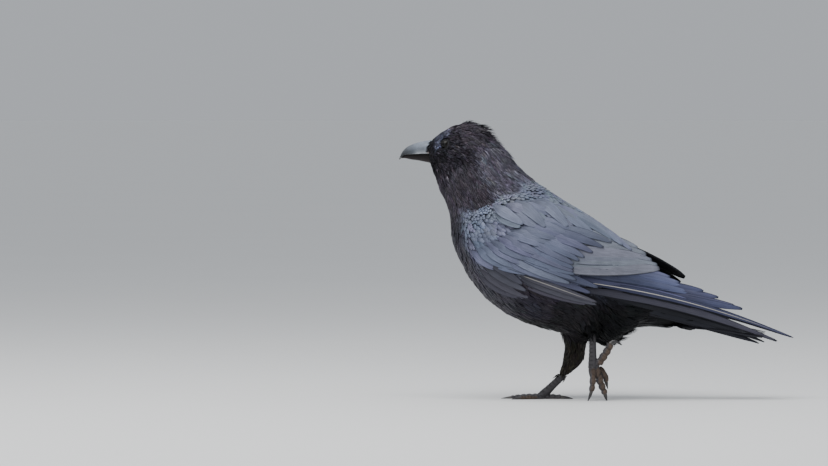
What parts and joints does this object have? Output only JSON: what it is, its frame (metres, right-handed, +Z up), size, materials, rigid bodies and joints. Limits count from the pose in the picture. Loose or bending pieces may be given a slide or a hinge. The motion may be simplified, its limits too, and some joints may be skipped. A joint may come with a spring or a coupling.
{
  "type": "crow",
  "caption": "Still life-size crow in mid stride on its own feet, wings folded, head turned a little aside, one foot planted and the other lifted to its claw tips.",
  "frame": {"origin": "on the floor below the middle of the bird's overall box", "axes": "-X the way the bird faces, -Y its left side, +Z up from the soles"},
  "size_m": [0.4347, 0.121, 0.305],
  "materials": {
    "body_plumage": "soft matt black feathers with a faint brown tone, fine pale-edged streaks on head and neck",
    "wing_plumage": "smooth black feathers with a slate-blue and violet gloss, scalloped edges",
    "flight_feathers": "long stiff black vanes with a satin violet-blue gloss and darker shafts",
    "bill_horn": "satin slate-grey horn, paler at the base, dark at the tip",
    "eye": "wet dark brown",
    "leg_scale": "dull grey-black horny scales with brownish edges",
    "claw_horn": "smooth black horn"
  },
  "bodies": {
    "root": {"bill_lower": "bill_horn", "bill_upper": "bill_horn", "claw_left_hind": "claw_horn", "claw_left_inner": "claw_horn", "claw_left_middle": "claw_horn", "claw_left_outer": "claw_horn", "claw_right_hind": "claw_horn", "claw_right_inner": "claw_horn", "claw_right_middle": "claw_horn", "claw_right_outer": "claw_horn", "eye_left": "eye", "eye_right": "eye", "head": "body_plumage", "neck": "body_plumage", "tail": "flight_feathers", "tarsus_left": "leg_scale", "tarsus_right": "leg_scale", "thigh_left": "body_plumage", "thigh_right": "body_plumage", "toe_left_hind": "leg_scale", "toe_left_inner": "leg_scale", "toe_left_middle": "leg_scale", "toe_left_outer": "leg_scale", "toe_right_hind": "leg_scale", "toe_right_inner": "leg_scale", "toe_right_middle": "leg_scale", "toe_right_outer": "leg_scale", "trunk": "body_plumage", "wing_left_coverts": "wing_plumage", "wing_left_inner_primaries": "flight_feathers", "wing_left_long_primaries": "flight_feathers", "wing_left_secondaries": "flight_feathers", "wing_right_coverts": "wing_plumage", "wing_right_inner_primaries": "flight_feathers", "wing_right_long_primaries": "flight_feathers", "wing_right_secondaries": "flight_feathers"}
  },
  "joints": []
}
